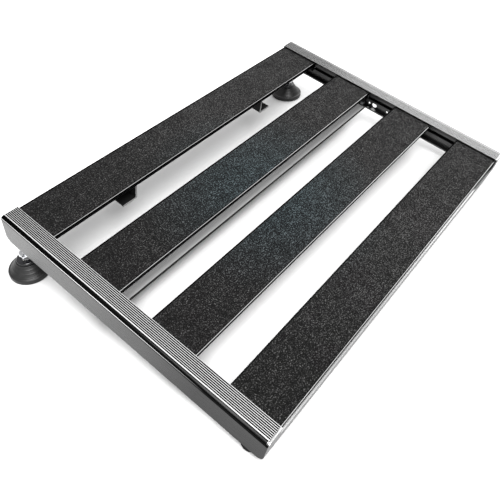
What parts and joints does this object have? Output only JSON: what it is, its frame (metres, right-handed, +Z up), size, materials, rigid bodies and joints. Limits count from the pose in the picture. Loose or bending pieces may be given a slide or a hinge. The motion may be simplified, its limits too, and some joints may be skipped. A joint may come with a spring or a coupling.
{
  "type": "pedalboard",
  "caption": "Tilted aluminium pedalboard with grooved side rails, sliding fabric-covered crossbars, a front fascia, a cross brace and adjustable swivel rear feet.",
  "frame": {"origin": "on the floor, under the centre of the board's bounding box", "axes": "+Z is up, +X runs along the crossbars to the side with the holes in its rail, +Y points to the raised rear edge"},
  "size_m": [0.6336, 0.4284, 0.1018],
  "materials": {
    "rail_black": "black anodised, satin with fine ridges",
    "brace_satin": "brushed bare top face, black anodised sides",
    "bar_black": "black anodised, satin",
    "block_black": "black anodised, matte",
    "bracket_black": "black powder coat, satin",
    "screw_black": "blackened steel",
    "zinc_steel": "zinc plated steel",
    "foot_chrome": "bright plated steel",
    "seat_nylon": "natural nylon",
    "collar_plastic": "black, semi-gloss",
    "rubber_black": "matte",
    "loop_grey": "looped pile, dark grey"
  },
  "bodies": {
    "frame": {"front_fascia": "rail_black", "cross_brace": "brace_satin", "brace_screws": "screw_black", "brace_nuts": "zinc_steel", "fascia_screws": "screw_black", "block_screws": "screw_black", "side_rail_left": "rail_black", "front_block_left": "block_black", "rear_block_left": "block_black", "bumper_left": "rubber_black", "foot_jam_nut_left": "foot_chrome", "side_rail_right": "rail_black", "front_block_right": "block_black", "rear_block_right": "block_black", "bumper_right": "rubber_black", "foot_jam_nut_right": "foot_chrome"},
    "bar_1": {"crossbar_1": "bar_black", "loop_pad_1": "loop_grey", "end_clamps_1": "block_black", "clamp_screws_1": "screw_black", "clamp_nuts_1": "zinc_steel"},
    "bar_2": {"crossbar_2": "bar_black", "loop_pad_2": "loop_grey", "end_clamps_2": "block_black", "clamp_screws_2": "screw_black", "clamp_nuts_2": "zinc_steel"},
    "bar_3": {"crossbar_3": "bar_black", "loop_pad_3": "loop_grey", "end_clamps_3": "block_black", "clamp_screws_3": "screw_black", "clamp_nuts_3": "zinc_steel"},
    "bar_4": {"crossbar_4": "bar_black", "loop_pad_4": "loop_grey", "end_clamps_4": "block_black", "clamp_screws_4": "screw_black", "clamp_nuts_4": "zinc_steel"},
    "supply_bracket_left": {"power_bracket_left": "bracket_black", "bracket_screws_left": "screw_black", "bracket_nuts_left": "zinc_steel"},
    "supply_bracket_right": {"power_bracket_right": "bracket_black", "bracket_screws_right": "screw_black", "bracket_nuts_right": "zinc_steel"},
    "foot_lift_left": {"foot_seat_left": "seat_nylon"},
    "foot_spin_left": {"foot_stud_left": "foot_chrome"},
    "foot_base_left": {"foot_pad_left": "rubber_black", "foot_collar_left": "collar_plastic"},
    "foot_lift_right": {"foot_seat_right": "seat_nylon"},
    "foot_spin_right": {"foot_stud_right": "foot_chrome"},
    "foot_base_right": {"foot_pad_right": "rubber_black", "foot_collar_right": "collar_plastic"}
  },
  "joints": [
    {"name": "bar_1_slide", "type": "slide", "parent": "frame", "child": "bar_1", "axis": [0, 0.9917, 0.1288], "range_m": [-0.0225, 0]},
    {"name": "bar_2_slide", "type": "slide", "parent": "frame", "child": "bar_2", "axis": [0, 0.9917, 0.1288], "range_m": [-0.024, 0.0225]},
    {"name": "bar_3_slide", "type": "slide", "parent": "frame", "child": "bar_3", "axis": [0, 0.9917, 0.1288], "range_m": [-0.0225, 0.024]},
    {"name": "bar_4_slide", "type": "slide", "parent": "frame", "child": "bar_4", "axis": [0, 0.9917, 0.1288], "range_m": [0, 0.0225]},
    {"name": "supply_bracket_left_slide", "type": "slide", "parent": "bar_1", "child": "supply_bracket_left", "axis": [-1, 0, 0], "range_m": [-0.09, 0.095]},
    {"name": "supply_bracket_right_slide", "type": "slide", "parent": "bar_1", "child": "supply_bracket_right", "axis": [1, 0, 0], "range_m": [-0.09, 0.095]},
    {"name": "foot_left_height", "type": "slide", "parent": "frame", "child": "foot_lift_left", "axis": [0, 0.1288, -0.9917], "range_m": [-0.006, 0.01]},
    {"name": "foot_left_turn", "type": "hinge", "parent": "foot_lift_left", "child": "foot_spin_left", "pos_m": [-0.2895, 0.18693, 0.01564], "axis": [0, 0.1288, -0.9917], "range_deg": [-1728, 2880]},
    {"name": "foot_left_tilt", "type": "hinge", "parent": "foot_lift_left", "child": "foot_base_left", "pos_m": [-0.2895, 0.18693, 0.01564], "axis": [1, 0, 0], "range_deg": [-8, 20]},
    {"name": "foot_right_height", "type": "slide", "parent": "frame", "child": "foot_lift_right", "axis": [0, 0.1288, -0.9917], "range_m": [-0.006, 0.01]},
    {"name": "foot_right_turn", "type": "hinge", "parent": "foot_lift_right", "child": "foot_spin_right", "pos_m": [0.2895, 0.18693, 0.01564], "axis": [0, 0.1288, -0.9917], "range_deg": [-1728, 2880]},
    {"name": "foot_right_tilt", "type": "hinge", "parent": "foot_lift_right", "child": "foot_base_right", "pos_m": [0.2895, 0.18693, 0.01564], "axis": [1, 0, 0], "range_deg": [-8, 20]}
  ],
  "couplings": [
    {"joint": "foot_left_turn", "follows": "foot_left_height", "rad_per_m": 5026.5},
    {"joint": "foot_right_turn", "follows": "foot_right_height", "rad_per_m": 5026.5}
  ]
}
